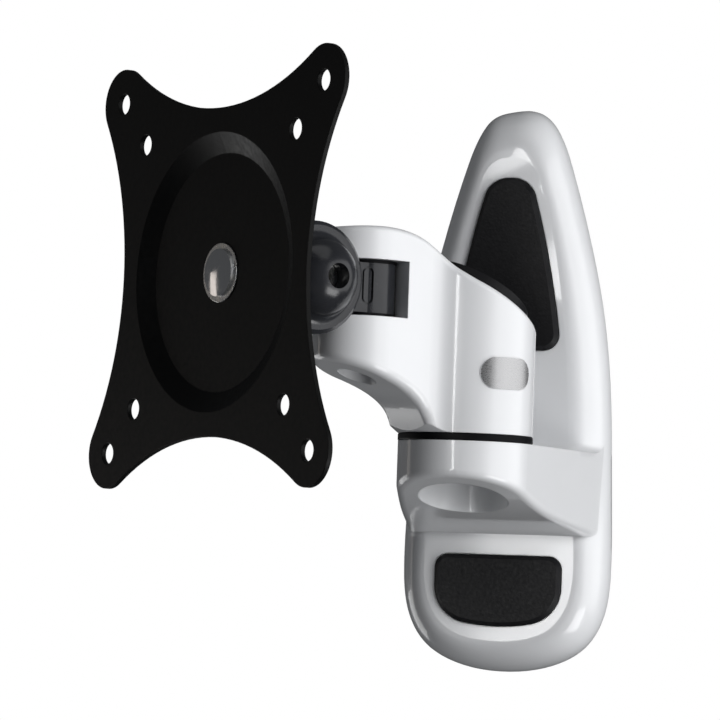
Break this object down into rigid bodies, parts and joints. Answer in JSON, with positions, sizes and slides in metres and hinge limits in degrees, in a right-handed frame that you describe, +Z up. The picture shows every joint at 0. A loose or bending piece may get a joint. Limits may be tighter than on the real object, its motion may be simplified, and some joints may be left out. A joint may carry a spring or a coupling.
{
  "type": "full motion tv wall mount",
  "caption": "Small full motion screen wall mount: pillowed wall bracket with a shelf, short swivelling arm, panning and tilting head, rotating square-pattern screen plate.",
  "frame": {"origin": "centre of the wall bracket's flat back face, on the wall plane", "axes": "X to the right seen from the room, Y into the wall, Z up"},
  "size_m": [0.1354, 0.1718, 0.1686],
  "materials": {
    "white_paint": "smooth glossy white powder coat on cast aluminium",
    "black_paint": "fine satin black powder coat on pressed steel",
    "charcoal_paint": "satin charcoal powder coat on cast zinc",
    "cover_plastic": "fine-textured black moulded plastic",
    "black_nylon": "smooth black nylon",
    "bush_nylon": "natural off-white nylon",
    "zinc_steel": "bright zinc plated steel",
    "chrome_steel": "polished chrome plate",
    "badge_metal": "plain satin aluminium"
  },
  "bodies": {
    "bracket": {"wall_bracket": "white_paint", "upper_cover": "cover_plastic", "lower_cover": "cover_plastic", "pivot_washer": "zinc_steel", "pivot_bolt": "zinc_steel", "base_ring": "black_nylon", "spring_washers": "zinc_steel", "lock_nut": "zinc_steel"},
    "arm": {"arm": "white_paint", "arm_bush_lower": "bush_nylon", "arm_bush_upper": "bush_nylon", "arm_cap": "cover_plastic", "arm_badge": "badge_metal", "knuckle_screw": "zinc_steel", "knuckle_washer": "zinc_steel"},
    "core": {"swivel_core": "charcoal_paint", "core_bush": "bush_nylon", "core_washers": "black_nylon", "tilt_bush": "bush_nylon", "tilt_washers": "black_nylon"},
    "head": {"tilt_head": "charcoal_paint", "tilt_screw": "zinc_steel", "tilt_nut": "zinc_steel", "head_insert": "zinc_steel", "plate_friction_disc": "black_nylon", "rotation_screw": "chrome_steel", "rotation_washer": "zinc_steel"},
    "plate": {"vesa_plate": "black_paint"}
  },
  "joints": [
    {"name": "arm_swivel", "type": "hinge", "parent": "bracket", "child": "arm", "pos_m": [0, -0.065, 0], "axis": [0, 0, 1], "range_deg": [-33.95, 116.05]},
    {"name": "head_pan", "type": "hinge", "parent": "arm", "child": "core", "pos_m": [-0.02548, -0.09426, 0.024], "axis": [0, 0, 1], "range_deg": [-50, 50]},
    {"name": "head_tilt", "type": "hinge", "parent": "core", "child": "head", "pos_m": [-0.04196, -0.11319, 0.0252], "axis": [0.7541, -0.6567, 0], "range_deg": [-15, 15]},
    {"name": "plate_rotation", "type": "hinge", "parent": "head", "child": "plate", "pos_m": [-0.05832, -0.13197, 0.0255], "axis": [-0.6567, -0.7541, 0.0122], "range_deg": [-90, 90]}
  ]
}
